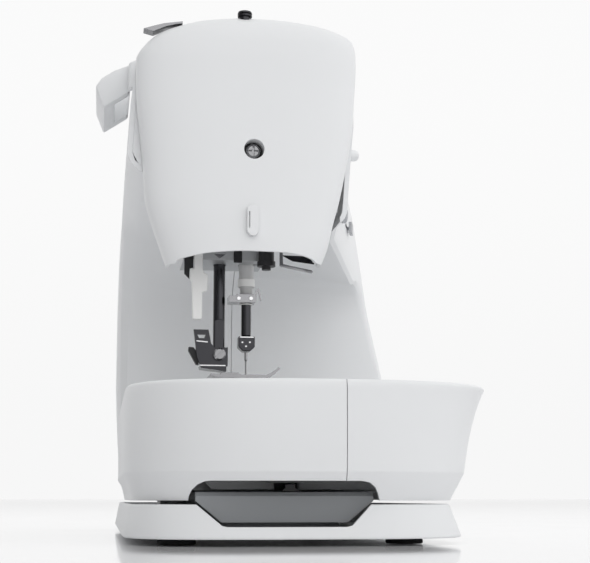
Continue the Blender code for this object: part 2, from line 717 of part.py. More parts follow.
def build_drive(looks):
    """The main shaft with its crank and belt wheel, the handwheel, the motor, its pulley and the belt."""
    shaft = [
        (-110.0, 14.0), (-109.0, 15.0), (-105.0, 15.0), (-104.0, 14.0), (-104.0, SHAFT_RADIUS),
        (175.5, SHAFT_RADIUS), (175.5, 28.5), (176.6, 28.5), (177.0, BELT_WHEEL_RADIUS),
        (187.0, BELT_WHEEL_RADIUS), (187.4, 28.5), (188.5, 28.5), (188.5, SHAFT_RADIUS), (
            218.0, SHAFT_RADIUS,
        ),
    ]
    origin = (0.0, NEEDLE_Y, SHAFT_Z)
    make("main_shaft", *turned(shaft, "X", origin[1:], 24), looks["steel_brushed"], origin)
    wheel = [
        (204.6, 5.5), (204.6, 12.0), (207.0, 31.0), (210.0, 35.4), (216.0, 36.4), (222.0, 36.4),
        (226.2, 34.6), (228.0, 30.0), (226.6, 22.0), (222.0, 9.0), (221.0, 5.5),
    ]
    make("handwheel", *turned(wheel, "X", origin[1:], 36, closed=True), looks["shell_white"], origin)
    motor = [(103.0, 16.0), (105.0, 24.0), (163.0, 24.0), (165.0, 16.0)]
    make("motor", *turned(motor, "X", MOTOR_CENTRE, 24), looks["steel_dark"])
    pulley = [
        (165.4, 3.0), (175.5, 3.0), (175.5, 10.2), (176.6, 10.2), (177.0, MOTOR_PULLEY_RADIUS),
        (187.0, MOTOR_PULLEY_RADIUS), (187.4, 10.2), (188.5, 10.2),
    ]
    make(
        "motor_pulley", *turned(pulley, "X", MOTOR_CENTRE, 20), looks["steel_brushed"],
        (0.0, *MOTOR_CENTRE),
    )
    low, high = BELT_X
    rings = []
    for near, far in zip(belt_path(0.45), belt_path(1.9)):
        rings.append([(low + 0.4, *near), (high - 0.4, *near), (high - 0.4, *far), (low + 0.4, *far)])
    make("drive_belt", *loft(rings, closed=True), looks["rubber_black"])
    board = make("control_board", *box((80.0, -78.0, 70.0), (190.0, -76.4, 220.0)), looks["board_green"])
    combine(board, "UNION", [
        box((96.0, -76.6, 100.0), (116.0, -73.6, 120.0)), box((130.0, -76.6, 150.0), (142.0, -66.0, 190.0)),
    ])


def build_needle(looks):
    """Needle bar, clamp, needle, threader and take-up lever."""
    x, y = NEEDLE_X, NEEDLE_Y
    rod = [(126.6, 2.7), (127.2, 3.15), (295.0, 3.15), (296.0, 2.6)]
    bar = make("needle_bar", *turned(rod, "Z", (x, y), 20), looks["chrome_dark"], (x, y, 200.0))
    combine(bar, "UNION", [box((x - 6.0, y - 6.0, 224.0), (-113.0, y + 6.0, 236.0))])
    block = [(15.6, 126.2), (15.6, 119.6), (18.6, 116.8), (23.0, 116.8), (26.0, 119.6), (26.0, 126.2)]
    clamp = make("needle_clamp", *prism(block, "X", x - 4.6, x + 4.6), looks["chrome_dark"], (x, y, 121.0))
    round_edges(clamp, 0.4, 1)
    point = [(99.6, 0.12), (104.0, 0.5), (111.0, 0.55), (111.6, 0.95), (116.4, 0.95)]
    make("needle", *turned(point, "Z", (x, y), 12), looks["chrome"], (x, y, 116.0))
    thumb = [(x + 5.0, 1.4), (x + 8.0, 1.4), (x + 8.0, 3.0), (x + 13.6, 3.0), (x + 14.2, 2.5)]
    make("clamp_screw", *turned(thumb, "X", (y, 121.6), 16), looks["chrome"], (x + 5.0, y, 121.6))
    sleeve = [
        (153.0, 3.6), (153.0, 4.0), (157.8, 4.0), (157.8, 4.9), (163.0, 4.9), (163.2, 4.75),
        (176.0, 4.75), (176.0, 3.6),
    ]
    make(
        "threader_sleeve", *turned(sleeve, "Z", (x, y), 20, closed=True), looks["sleeve_grey"],
        (x, y, 160.0),
    )
    arm = box((x - 7.4, 15.7, 147.4), (x + 4.6, 32.4, 152.6))
    head = make("threader_head", *arm, looks["chrome"], (x, y, 150.0))
    combine(head, "DIFFERENCE", [
        prism(circle((x, y), 3.7, 20), "Z", 130.0, 160.0),
        box((x - 8.0, 27.5, 151.4), (x + 6.0, 34.0, 155.0)),
    ])
    wire = [
        (16.4, 147.8), (16.4, 149.2), (15.6, 154.6), (14.4, 156.8), (13.6, 156.8), (12.6, 154.4),
        (11.7, 148.6), (12.5, 148.6), (13.5, 153.6), (14.0, 155.2), (14.5, 153.6), (15.2, 147.8),
    ]
    combine(head, "UNION", [prism(wire, "X", x - 5.6, x - 4.6)])
    lever = [
        (-2.4, 259.6), (-2.4, 264.4), (-5.0, 266.4), (-35.0, 296.0), (-39.0, 294.4), (-38.0, 290.8),
        (-9.0, 260.6), (-6.0, 258.4),
    ]
    make("take_up_lever", *prism(lever, "X", -121.3, -118.7), looks["chrome"], (-120.0, -6.0, 262.0))


def build_presser(looks):
    """Presser bar, its lifter, the ankle that holds the foot, and the foot."""
    x, y = NEEDLE_X, PRESSER_Y
    rod = [(108.4, 3.2), (109.0, 3.75), (302.0, 3.75), (303.0, 3.1)]
    bar = make("presser_bar", *turned(rod, "Z", (x, y), 24), looks["chrome_dark"], (x, y, 200.0))
    flat = [(y - 5.0, 100.0), (y + 5.0, 100.0), (y + 5.0, 133.0)]
    for turn in range(0, 181, 30):
        angle = math.radians(turn)
        flat.append((y + 3.6 * math.cos(angle), 133.4 + 3.6 * math.sin(angle)))
    flat += [(y - 5.0, 133.0)]
    combine(bar, "DIFFERENCE", [prism(flat, "X", -140.0, x - 2.6)])
    plate = [
        (34.0, 107.0), (49.8, 107.0), (52.1, 113.0), (54.3, 129.8), (45.0, 129.8), (43.3, 121.2),
        (41.3, 118.8), (34.0, 118.8),
    ]
    ankle = make("ankle", *prism(plate, "X", -134.3, -131.0), looks["chrome_dark"], (x, y, 112.0))
    window = [(52.1, 126.7), (46.7, 126.7), (47.7, 124.4), (50.8, 124.4)]
    combine(ankle, "UNION", [
        prism([(32.8, 107.0), (34.6, 107.0), (34.6, 118.8), (32.8, 118.8)], "X", -134.3, -130.4),
        prism([(33.6, 103.9), (49.6, 105.8), (50.0, 107.4), (33.6, 107.4)], "X", -134.3, -120.0),
    ])
    combine(ankle, "DIFFERENCE", [prism(window, "X", -140.0, -125.0)])
    slotted = [(-137.6, 3.0), (-136.9, 3.9), (-134.6, 3.9)]
    screw = make(
        "ankle_screw", *turned(slotted, "X", (38.2, 114.2), 20), looks["chrome"],
        (-135.0, 38.2, 114.2),
    )
    slot = [(42.0, 109.6), (42.8, 110.4), (34.4, 118.8), (33.6, 118.0)]
    combine(screw, "DIFFERENCE", [prism(slot, "X", -140.0, -136.8)])
    foot = [
        (2.0, 105.9), (1.0, 105.2), (4.4, 101.6), (9.0, 99.2), (40.0, 99.0), (44.6, 100.4), (44.2, 101.4),
        (38.0, 101.0), (37.0, 102.9), (26.2, 102.9), (25.4, 101.0), (10.0, 100.9), (5.6, 102.8),
    ]
    sole = make("presser_foot", *prism(foot, "X", -144.0, -112.0), looks["chrome"], (x, 32.0, 102.0))
    combine(sole, "DIFFERENCE", [
        box((x - 3.8, -5.0, 90.0), (x + 3.8, 25.0, 110.0)),
        box((-150.0, 25.0, 101.3), (-137.0, 38.5, 110.0)),
        box((-119.0, 25.0, 101.3), (-110.0, 38.5, 110.0)),
    ])
    tail = [(50.6, 108.0), (52.4, 108.4), (57.2, 117.0), (57.0, 119.2), (54.0, 119.0), (51.2, 115.4)]
    make("release_lever", *prism(tail, "X", -130.6, -126.0), looks["dark_plastic"], (-128.0, 51.4, 110.0))
    lifter = [
        (46.0, 182.0), (52.0, 180.0), (62.0, 182.0), (64.0, 185.0), (62.0, 188.0), (52.0, 190.0),
        (46.0, 189.0),
    ]
    make("presser_lifter", *prism(lifter, "X", -103.6, -99.0), looks["dark_plastic"], (-101.0, 49.0, 186.0))


def build_head_fittings(looks):
    """Small fittings round the needle: buttonhole lever, lamp, guides and the stud on top."""
    strip = [
        (58.0, 165.3), (55.6, 165.4), (55.6, 188.0), (50.5, 188.0), (50.4, 165.5), (49.8, 162.7),
        (47.2, 161.8), (47.5, 151.3), (50.6, 150.6), (50.6, 134.4), (51.4, 133.6), (55.6, 133.6),
        (56.4, 134.4), (57.0, 157.4), (57.9, 158.0),
    ]
    lever = make(
        "buttonhole_lever", *prism(strip, "X", -152.6, -148.4), looks["lever_white"],
        (-150.0, 53.0, 160.0),
    )
    round_edges(lever, 0.5, 1)
    dark = [(61.6, 186.0), (56.0, 186.0), (56.0, 166.4), (58.2, 166.0), (58.3, 159.3), (61.5, 162.6)]
    make("buttonhole_bracket", *prism(dark, "X", -147.8, -146.6), looks["dark_plastic"])
    lamp = [(165.2, 2.8), (167.4, 2.8), (167.4, 5.7), (170.4, 5.7), (170.4, 4.9), (180.0, 4.9)]
    make("lamp", *turned(lamp, "Z", (-152.4, 11.1), 20), looks["dark_plastic"])
    leaf = [
        (3.5, 177.0), (1.6, 177.0), (1.4, 168.4), (-4.0, 167.2), (-16.6, 164.9), (-17.4, 163.8),
        (-16.6, 163.0), (2.5, 166.6), (3.5, 167.4),
    ]
    make("front_thread_guide", *prism(leaf, "X", -158.0, -156.8), looks["chrome"])
    top = [
        (90.0, 311.9), (84.0, 310.4), (76.4, 314.0), (69.6, 315.9), (66.0, 316.4), (66.0, 317.8),
        (69.6, 317.2), (77.6, 315.9), (84.4, 313.8),
    ]
    make("rear_thread_guide", *prism(top, "X", -169.0, -160.0), looks["chrome"])
    stud = [
        (312.0, 3.2), (322.9, 3.2), (322.9, 4.5), (323.9, 4.6), (323.9, 3.0), (324.8, 3.0),
        (324.8, 4.6), (326.0, 4.3),
    ]
    make("pretension_stud", *turned(stud, "Z", STUD_CENTRE, 20), looks["chrome_dark"])


def build_controls(looks):
    """Display, buttons, slider and knob on the front, and the switch and sockets on the right end."""
    low, high = 190.0, 246.0
    near = front_y(140.0, low) - 0.9
    far = front_y(140.0, high) - 0.9
    slab = [(near, low), (near - 2.0, low), (far - 2.0, high), (far, high)]
    make("display", *prism(slab, "X", 96.0, 176.0), looks["display_glass"])
    for name, x, radius in (("start_button", -85.0, 7.0), ("reverse_button", -62.0, 5.5)):
        face = front_y(x, BUTTON_Z)
        cap = [(face + 7.0, radius), (face - 2.6, radius), (face - 3.6, radius - 1.0)]
        make(name, *turned(cap, "Y", (x, BUTTON_Z), 20), looks["button_grey"], (x, face, BUTTON_Z))
    left, middle, right = (front_y(x, BUTTON_Z) - 1.4 for x in (-24.0, -18.0, -12.0))
    wedge = [(-24.0, left), (-12.0, right), (-12.6, right - 2.0), (-24.6, left - 2.0)]
    slider = make(
        "speed_slider", *prism(wedge, "Z", 218.0, 226.0), looks["button_grey"],
        (-18.0, middle, BUTTON_Z),
    )
    combine(slider, "UNION", [box((-20.0, middle - 1.0, 221.0), (-16.0, middle + 9.0, 223.0))])
    rise = [(-48.0, KNOB_STEM), (-58.4, KNOB_STEM), (-58.8, 4.2), (-65.5, 4.2), (-67.6, 3.4), (-68.7, 1.6)]
    knob = turned(rise, "Y", (KNOB_X, KNOB_Z), 20)
    make("selector_knob", *knob, looks["shell_white"], (KNOB_X, -60.0, KNOB_Z))
    rocker = [(198.6, 60.4), (205.4, 60.4), (204.4, 69.0), (205.4, 77.6), (198.6, 77.6)]
    make("power_switch", *prism(rocker, "Y", 21.6, 34.4), looks["dark_plastic"], (203.0, 28.0, 69.0))
    inlet = make("power_inlet", *box((190.0, 46.2, 58.2), (204.6, 71.8, 79.8)), looks["dark_plastic"])
    combine(inlet, "DIFFERENCE", [box((192.0, 49.0, 61.0), (210.0, 69.0, 77.0))])
    jack = [(192.0, 6.0), (204.6, 6.0), (204.6, 1.8), (194.0, 1.8)]
    make("pedal_jack", *turned(jack, "X", (84.0, 69.0), 20), looks["dark_plastic"])


def build_spool_bay(looks):
    """The tray in the top, with the spool pin and the bobbin winder's spindle."""
    tub = make("spool_tray", *box((12.0, 18.0, 299.6), (148.0, 70.0, 313.4)), looks["liner_grey"])
    combine(tub, "DIFFERENCE", [box((14.4, 20.4, 301.8), (145.6, 67.6, 330.0))])
    pin = [(18.0, 1.6), (18.6, 2.6), (108.0, 2.6), (109.0, 1.8)]
    make("spool_pin", *turned(pin, "X", (44.0, 308.0), 16), looks["button_grey"], (20.0, 44.0, 308.0))
    spindle = [(302.6, 8.0), (304.0, 8.0), (304.0, 2.8), (315.0, 2.6), (316.0, 1.6)]
    make(
        "winder_spindle", *turned(spindle, "Z", (130.0, 44.0), 20), looks["button_grey"],
        (130.0, 44.0, 304.0),
    )


def main():
    """Builds every part."""
    clear_scene()
    looks = {
        "shell_white": material("shell_white", (0.83, 0.84, 0.85), 0.42),
        "base_white": material("base_white", (0.78, 0.79, 0.8), 0.45),
        "liner_grey": material("liner_grey", (0.36, 0.37, 0.38), 0.55),
        "lever_white": material("lever_white", (0.86, 0.86, 0.85), 0.4),
        "sleeve_grey": material("sleeve_grey", (0.62, 0.62, 0.62), 0.4),
        "button_grey": material("button_grey", (0.55, 0.56, 0.58), 0.45),
        "dark_plastic": material("dark_plastic", (0.03, 0.03, 0.032), 0.45),
        "clear_plastic": material("clear_plastic", (0.6, 0.63, 0.66), 0.15),
        "display_glass": material("display_glass", (0.02, 0.025, 0.03), 0.08),
        "board_green": material("board_green", (0.02, 0.13, 0.05), 0.5),
        "rubber_black": material("rubber_black", (0.025, 0.025, 0.025), 0.85),
        "cast_aluminium": material("cast_aluminium", (0.55, 0.56, 0.57), 0.5, 1.0),
        "steel_brushed": material("steel_brushed", (0.62, 0.62, 0.62), 0.3, 1.0),
        "steel_dark": material("steel_dark", (0.16, 0.16, 0.17), 0.4, 1.0),
        "chrome": material("chrome", (0.8, 0.8, 0.8), 0.12, 1.0),
        "chrome_dark": material("chrome_dark", (0.32, 0.32, 0.33), 0.2, 1.0),
    }
    build_base(looks)
    build_box(looks)
    build_free_arm(looks)
    build_hook(looks)
    build_covers(looks)
    build_face(looks)
    build_frame(looks)
    build_drive(looks)
    build_needle(looks)
    build_presser(looks)
    build_head_fittings(looks)
    build_controls(looks)
    build_spool_bay(looks)


main()
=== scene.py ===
"""The look of the sewing machine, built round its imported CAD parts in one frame, in metres with +Z up."""

import json
import math

import bmesh
import bpy
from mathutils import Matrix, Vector

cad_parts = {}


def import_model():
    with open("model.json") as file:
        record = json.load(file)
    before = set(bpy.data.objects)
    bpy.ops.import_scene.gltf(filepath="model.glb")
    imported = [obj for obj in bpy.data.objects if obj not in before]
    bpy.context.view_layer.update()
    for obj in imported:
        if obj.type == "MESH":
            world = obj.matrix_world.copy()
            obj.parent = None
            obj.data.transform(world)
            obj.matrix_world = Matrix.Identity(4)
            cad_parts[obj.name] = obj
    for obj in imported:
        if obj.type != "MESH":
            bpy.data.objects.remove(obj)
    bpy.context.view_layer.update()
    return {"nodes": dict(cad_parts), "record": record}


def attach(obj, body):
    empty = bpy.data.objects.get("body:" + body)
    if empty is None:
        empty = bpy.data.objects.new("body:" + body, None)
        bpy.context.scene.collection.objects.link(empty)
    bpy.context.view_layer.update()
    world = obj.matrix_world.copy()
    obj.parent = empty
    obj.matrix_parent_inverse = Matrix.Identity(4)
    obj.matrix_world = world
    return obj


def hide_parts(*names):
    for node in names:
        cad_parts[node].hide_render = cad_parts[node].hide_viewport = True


MM = 0.001

# The bed's outer wall: height, left-most X, front Y, rear Y.
BED_LEVELS = (
    (24.6, -219.0, -99.5, 91.0),
    (33.0, -223.2, -104.2, 93.0),
    (40.5, -226.6, -108.1, 96.0),
    (58.0, -227.6, -111.0, 96.6),
    (75.0, -228.0, -115.5, 96.8),
    (87.0, -228.0, -120.2, 96.6),
    (90.2, -227.4, -121.8, 96.1),
    (91.6, -226.0, -120.6, 94.8),
)
BED_CREASE = 40.5
BED_TOP = 91.6
BED_BOTTOM = 24.6
SEAM_Y = -25.0
SEAM_GAP = 0.4
BOX_END_X = 65.4
BOW_X = -150.0
BOW_POWER = 2.6
ARM_SLOT_X = -180.5
ARM_SLOT_Y = (-23.2, 67.2)

# The face cover: height, rear Y, front Y, how far the nose bulges.
FACE_LEVELS = (
    (140.0, 62.0, -10.0, 17.0),
    (166.5, 74.4, -21.0, 19.0),
    (176.0, 77.8, -24.8, 19.5),
    (192.0, 83.4, -28.6, 19.8),
    (205.0, 87.0, -32.2, 19.6),
    (229.0, 88.9, -37.2, 19.2),
    (253.0, 91.8, -41.2, 18.6),
    (276.0, 93.9, -42.8, 18.0),
    (293.0, 94.1, -43.8, 17.6),
    (302.0, 89.2, -43.7, 16.8),
    (306.4, 85.0, -43.0, 16.0),
    (310.6, 79.4, -41.4, 14.6),
    (315.0, 69.2, -34.5, 12.4),
    (319.2, 56.0, -21.0, 9.0),
    (321.8, 40.0, -5.0, 5.0),
)
FACE_EDGE_X = -164.0
FACE_BACK_X = -158.4
# The arch of the face cover's lower rim: Y and height.
FACE_RIM = (
    (-60.0, 166.0), (-16.8, 166.3), (-14.9, 167.8), (-7.6, 169.8), (4.0, 171.1), (26.0, 171.3),
    (48.0, 169.9), (62.4, 167.2), (67.4, 165.8), (68.8, 163.9), (110.0, 163.7),
)
STUD_PLACE = (-168.0, 27.2)
NEEDLE_PLACE = (-128.0, 20.8)
# X of the faces that the small fittings stand on.
GUIDE_LEAF_X = -150.0
HEAD_FITTING_X = -146.4
ANKLE_FACE_X = -134.3
CLAMP_FACE_X = -132.6
THREADER_FACE_X = -135.4
SCREW_HOLE = (22.5, 234.0)
SCREW_HOLE_RADIUS = 6.2

GRIP = (
    (62.0, 15.0), (61.0, 27.0), (59.5, 30.5), (56.5, 33.4), (53.0, 35.0), (50.0, 35.4),
    (-34.0, 35.4), (-38.5, 34.6), (-42.0, 32.0), (-44.0, 28.5), (-45.5, 24.0), (-46.0, 15.0),
)
NOTCH = (
    (60.5, 26.0), (58.0, 23.2), (43.5, 11.0), (40.5, 10.3), (-25.5, 10.3), (-28.5, 11.0), (-44.0, 26.0),
)
BASE_BOTTOM = 3.6
BASE_TOP = 22.5
BASE_FLOOR = 6.6


# The studio's soft light: a white sky, darker on the rear side and behind the camera.
SKY_BASE = 0.93
SKY_TERMS = (
    ((0.0, 0.0, 1.0), 0.0, 0.3, 0.03),
    ((-0.2, 0.98, 0.0), 0.4, 0.95, -0.7),
    ((-0.8, -0.38, 0.46), 0.4, 0.92, 0.4),
    ((-0.97, 0.2, -0.04), 0.93, 0.985, -0.6),
)

# ---------------------------------------------------------------- shapes


def mesh_object(name, verts, faces, body, look):
    """A piece from points in millimetres, riding on a body unless it is a cutting tool."""
    mesh = bpy.data.meshes.new(name)
    mesh.from_pydata([Vector(v) * MM for v in verts], [], faces)
    mesh.validate()
    mesh.update()
    mesh.materials.append(look)
    mesh.shade_smooth()
    obj = bpy.data.objects.new(name, mesh)
    bpy.context.scene.collection.objects.link(obj)
    if body:
        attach(obj, body)
    return obj


def recalculated(obj):
    """Turns every face of a closed or nearly closed mesh outwards."""
    bm = bmesh.new()
    bm.from_mesh(obj.data)
    bmesh.ops.recalc_face_normals(bm, faces=bm.faces)
    bm.to_mesh(obj.data)
    bm.free()
    return obj


def sharpened(obj, degrees=35.0):
    """Smooth shading with the steeper edges kept sharp."""
    obj.data.shade_smooth()
    obj.data.set_sharp_from_angle(angle=math.radians(degrees))
    return obj


def between(table, at, column):
    """A column of a table read at a height, in straight steps."""
    if at <= table[0][0]:
        return table[0][column]
    for low, high in zip(table, table[1:]):
        if at <= high[0]:
            part = (at - low[0]) / (high[0] - low[0])
            return low[column] + part * (high[column] - low[column])
    return table[-1][column]


def smooth_between(table, at, column):
    """A smooth curve through a table's column, with slopes that never overshoot."""
    count = len(table)
    if at <= table[0][0]:
        return table[0][column]
    if at >= table[-1][0]:
        return table[-1][column]
    k = 0
    while at > table[k + 1][0]:
        k += 1
    steps = []
    for low, high in zip(table, table[1:]):
        steps.append((high[column] - low[column]) / (high[0] - low[0]))

    def slope(n):
        if n == 0:
            return steps[0]
        if n == count - 1:
            return steps[-1]
        one, two = steps[n - 1], steps[n]
        if one * two <= 0:
            return 0.0
        return 2 * one * two / (one + two)

    width = table[k + 1][0] - table[k][0]
    t = (at - table[k][0]) / width
    start, end = table[k][column], table[k + 1][column]
    return (
        start * (1 + 2 * t) * (1 - t) ** 2
        + slope(k) * width * t * (1 - t) ** 2
        + end * t * t * (3 - 2 * t)
        + slope(k + 1) * width * t * t * (t - 1)
    )


def power_ring(count, power):
    """Turns round half an oval from the rear to the front, as (outward share, sideways share)."""
    steps = []
    for k in range(count + 1):
        turn = math.pi / 2 - math.pi * k / count
        outward = abs(math.cos(turn)) ** (2 / power) if 0 < k < count else 0.0
        sideways = math.copysign(abs(math.sin(turn)) ** (2 / power), math.sin(turn))
        steps.append((outward, sideways))
    return steps


def grid_faces(rows, columns, wrap=False):
    """The squares of a grid of points laid row by row, joined round if it wraps."""
    faces = []
    for r in range(rows - 1):
        for c in range(columns if wrap else columns - 1):
            n = (c + 1) % columns
            faces.append((r * columns + c, r * columns + n, (r + 1) * columns + n, (r + 1) * columns + c))
    return faces


def prism(name, outline, axis, low, high, body, look):
    """A straight block with the given outline across an axis."""
    def place(along, u, v):
        if axis == "X":
            return (along, u, v)
        if axis == "Y":
            return (u, along, v)
        return (u, v, along)

    count = len(outline)
    verts = [place(at, u, v) for at in (low, high) for u, v in outline]
    faces = [tuple(range(count)), tuple(range(count, 2 * count))]
    faces += [(k, (k + 1) % count, count + (k + 1) % count, count + k) for k in range(count)]
    obj = recalculated(mesh_object(name, verts, faces, body, look))
    return sharpened(obj)


def rectangle(low, high):
    return [(low[0], low[1]), (high[0], low[1]), (high[0], high[1]), (low[0], high[1])]


def circle(centre, radius, segments=48):
    steps = [2 * math.pi * k / segments for k in range(segments)]
    return [(centre[0] + radius * math.cos(a), centre[1] + radius * math.sin(a)) for a in steps]


def turned(name, profile, axis, centre, body, look, segments=64, closed=False):
    """A turned solid from (along, radius) steps round an axis through the centre."""
    rings = []
    for along, radius in profile:
        for u, v in circle(centre, radius, segments):
            rings.append({"X": (along, u, v), "Y": (u, along, v), "Z": (u, v, along)}[axis])
    faces = grid_faces(len(profile), segments, True)
    if closed:
        last = (len(profile) - 1) * segments
        for k in range(segments):
            n = (k + 1) % segments
            faces.append((last + k, last + n, n, k))
    else:
        faces.append(tuple(range(segments)))
        faces.append(tuple(range(len(rings) - segments, len(rings))))
    obj = recalculated(mesh_object(name, rings, faces, body, look))
    return sharpened(obj, 30.0)


def rounded(obj, width, segments=3, angle=35.0):
    """Rounds the edges steeper than an angle, by a width in millimetres."""
    step = obj.modifiers.new("edges", "BEVEL")
    step.width = width * MM
    step.segments = segments
    step.limit_method = "ANGLE"
    step.angle_limit = math.radians(angle)
    step.harden_normals = True
    return obj


def cut(obj, tool):
    """Cuts the tool out of the piece and hides the tool."""
    step = obj.modifiers.new("cut", "BOOLEAN")
    step.operation = "DIFFERENCE"
    step.solver = "EXACT"
    step.object = tool
    with bpy.context.temp_override(object=obj, active_object=obj, selected_objects=[obj]):
        bpy.ops.object.modifier_apply(modifier="cut")
    bpy.data.objects.remove(tool, do_unlink=True)
    return obj


# ---------------------------------------------------------------- materials


def linked(tree, source, output, target, socket):
    tree.links.new(source.outputs[output], target.inputs[socket])


def add_node(tree, kind, **values):
    node = tree.nodes.new(kind)
    for name, value in values.items():
        setattr(node, name, value)
    return node


def plain_material(name, colour, roughness, metallic=0.0):
    made = bpy.data.materials.new(name)
    made.use_nodes = True
    shader = made.node_tree.nodes["Principled BSDF"]
    shader.inputs["Base Color"].default_value = (*colour, 1.0)
    shader.inputs["Roughness"].default_value = roughness
    shader.inputs["Metallic"].default_value = metallic
    return made, made.node_tree, shader


def add_grain(tree, shader, size, height, rounding=0.0, detail=3.0):
    """Fine surface grain of a real size in metres, on top of slightly rounded edges."""
    place = add_node(tree, "ShaderNodeTexCoord")
    noise = add_node(tree, "ShaderNodeTexNoise")
    noise.inputs["Scale"].default_value = 1.0 / size
    noise.inputs["Detail"].default_value = detail
    bump = add_node(tree, "ShaderNodeBump")
    bump.inputs["Strength"].default_value = 1.0
    bump.inputs["Distance"].default_value = height
    linked(tree, place, "Object", noise, "Vector")
    linked(tree, noise, "Fac", bump, "Height")
    if rounding:
        bevel = add_node(tree, "ShaderNodeBevel", samples=4)
        bevel.inputs["Radius"].default_value = rounding
        linked(tree, bevel, "Normal", bump, "Normal")
    linked(tree, bump, "Normal", shader, "Normal")
    return noise


def vary_roughness(tree, shader, size, low, high):
    """Slow changes of gloss, as handling and moulding leave."""
    place = add_node(tree, "ShaderNodeTexCoord")
    noise = add_node(tree, "ShaderNodeTexNoise")
    noise.inputs["Scale"].default_value = 1.0 / size
    noise.inputs["Detail"].default_value = 4.0
    spread = add_node(tree, "ShaderNodeMapRange")
    spread.inputs["To Min"].default_value = low
    spread.inputs["To Max"].default_value = high
    linked(tree, place, "Object", noise, "Vector")
    linked(tree, noise, "Fac", spread, "Value")
    linked(tree, spread, "Result", shader, "Roughness")


def moulded(name, colour, low, high, grain=0.00002, rounding=0.0004):
    """Moulded plastic with fine grain, between two roughness values."""
    made, tree, shader = plain_material(name, colour, (low + high) / 2)
    shader.inputs["Specular IOR Level"].default_value = 0.4
    vary_roughness(tree, shader, 0.03, low, high)
    add_grain(tree, shader, 0.0006, grain, rounding)
    return made


def metal(name, colour, low, high, scratch=0.000004, stretch=(1.0, 1.0, 1.0)):
    """Bare or plated metal with fine scratches, drawn out along an axis where it is brushed."""
    made, tree, shader = plain_material(name, colour, (low + high) / 2, 1.0)
    vary_roughness(tree, shader, 0.004, low, high)
    place = add_node(tree, "ShaderNodeTexCoord")
    squeeze = add_node(tree, "ShaderNodeMapping")
    squeeze.inputs["Scale"].default_value = stretch
    noise = add_node(tree, "ShaderNodeTexNoise")
    noise.inputs["Scale"].default_value = 2500.0
    noise.inputs["Detail"].default_value = 4.0
    bump = add_node(tree, "ShaderNodeBump")
    bump.inputs["Strength"].default_value = 1.0
    bump.inputs["Distance"].default_value = scratch
    bevel = add_node(tree, "ShaderNodeBevel", samples=4)
    bevel.inputs["Radius"].default_value = 0.00025
    linked(tree, place, "Object", squeeze, "Vector")
    linked(tree, squeeze, "Vector", noise, "Vector")
    linked(tree, noise, "Fac", bump, "Height")
    linked(tree, bevel, "Normal", bump, "Normal")
    linked(tree, bump, "Normal", shader, "Normal")
    return made


def clear_moulding(name):
    made, tree, shader = plain_material(name, (0.86, 0.88, 0.9), 0.08)
    shader.inputs["Transmission Weight"].default_value = 0.85
    shader.inputs["IOR"].default_value = 1.45
    add_grain(tree, shader, 0.001, 0.000003)
    return made


def circuit_board(name):
    made, tree, shader = plain_material(name, (0.02, 0.13, 0.05), 0.35)
    place = add_node(tree, "ShaderNodeTexCoord")
    tracks = add_node(tree, "ShaderNodeTexBrick")
    tracks.inputs["Scale"].default_value = 160.0
    tracks.inputs["Color1"].default_value = (0.02, 0.13, 0.05, 1.0)
    tracks.inputs["Color2"].default_value = (0.015, 0.1, 0.04, 1.0)
    tracks.inputs["Mortar"].default_value = (0.04, 0.2, 0.08, 1.0)
    linked(tree, place, "Object", tracks, "Vector")
    linked(tree, tracks, "Color", shader, "Base Color")
    return made


def table_surface(name):
    """The pale glossy table: soft colour with a clear mirror image at a low angle."""
    made, tree, shader = plain_material(name, (0.87, 0.87, 0.88), 0.06)
    vary_roughness(tree, shader, 0.08, 0.05, 0.08)
    return made


def build_looks():
    return {
        "shell_white": moulded("shell_white", (0.80, 0.81, 0.82), 0.38, 0.46),
        "base_white": moulded("base_white", (0.76, 0.77, 0.78), 0.4, 0.48),
        "liner_grey": moulded("liner_grey", (0.24, 0.25, 0.26), 0.45, 0.6),
        "lever_white": moulded("lever_white", (0.86, 0.86, 0.85), 0.35, 0.45),
        "sleeve_grey": moulded("sleeve_grey", (0.6, 0.6, 0.6), 0.35, 0.5),
        "button_grey": moulded("button_grey", (0.45, 0.46, 0.48), 0.4, 0.5),
        "dark_plastic": moulded("dark_plastic", (0.02, 0.02, 0.022), 0.35, 0.5),
        "clear_plastic": clear_moulding("clear_plastic"),
        "display_glass": moulded("display_glass", (0.015, 0.02, 0.025), 0.05, 0.1, 0.0),
        "board_green": circuit_board("board_green"),
        "rubber_black": moulded("rubber_black", (0.02, 0.02, 0.02), 0.7, 0.85, 0.00005),
        "cast_aluminium": metal("cast_aluminium", (0.55, 0.56, 0.57), 0.4, 0.6, 0.00003),
        "steel_brushed": metal("steel_brushed", (0.6, 0.6, 0.6), 0.22, 0.36, 0.000008, (0.05, 1.0, 1.0)),
        "steel_dark": metal("steel_dark", (0.16, 0.16, 0.17), 0.3, 0.45),
        "chrome": metal("chrome", (0.3, 0.3, 0.31), 0.1, 0.2, 0.000001),
        "chrome_dark": metal("chrome_dark", (0.055, 0.055, 0.06), 0.12, 0.24, 0.000001),
        "chrome_bright": metal("chrome_bright", (0.8, 0.8, 0.81), 0.1, 0.2, 0.000001),
    }


def finish_nodes(frame, looks):
    """Gives each CAD node its finish and soft shading with crisp edges."""
    for entry in frame["record"]["subparts"]:
        node = frame["nodes"][entry["node"]]
        node.data.materials.clear()
        node.data.materials.append(looks[entry["material_slot"]])
        weld = node.modifiers.new("weld", "WELD")
        weld.merge_threshold = 0.00001
        node.data.shade_smooth()
        split = node.modifiers.new("creases", "EDGE_SPLIT")
        split.split_angle = math.radians(28.0)
        split.use_edge_sharp = False


# ---------------------------------------------------------------- the bed


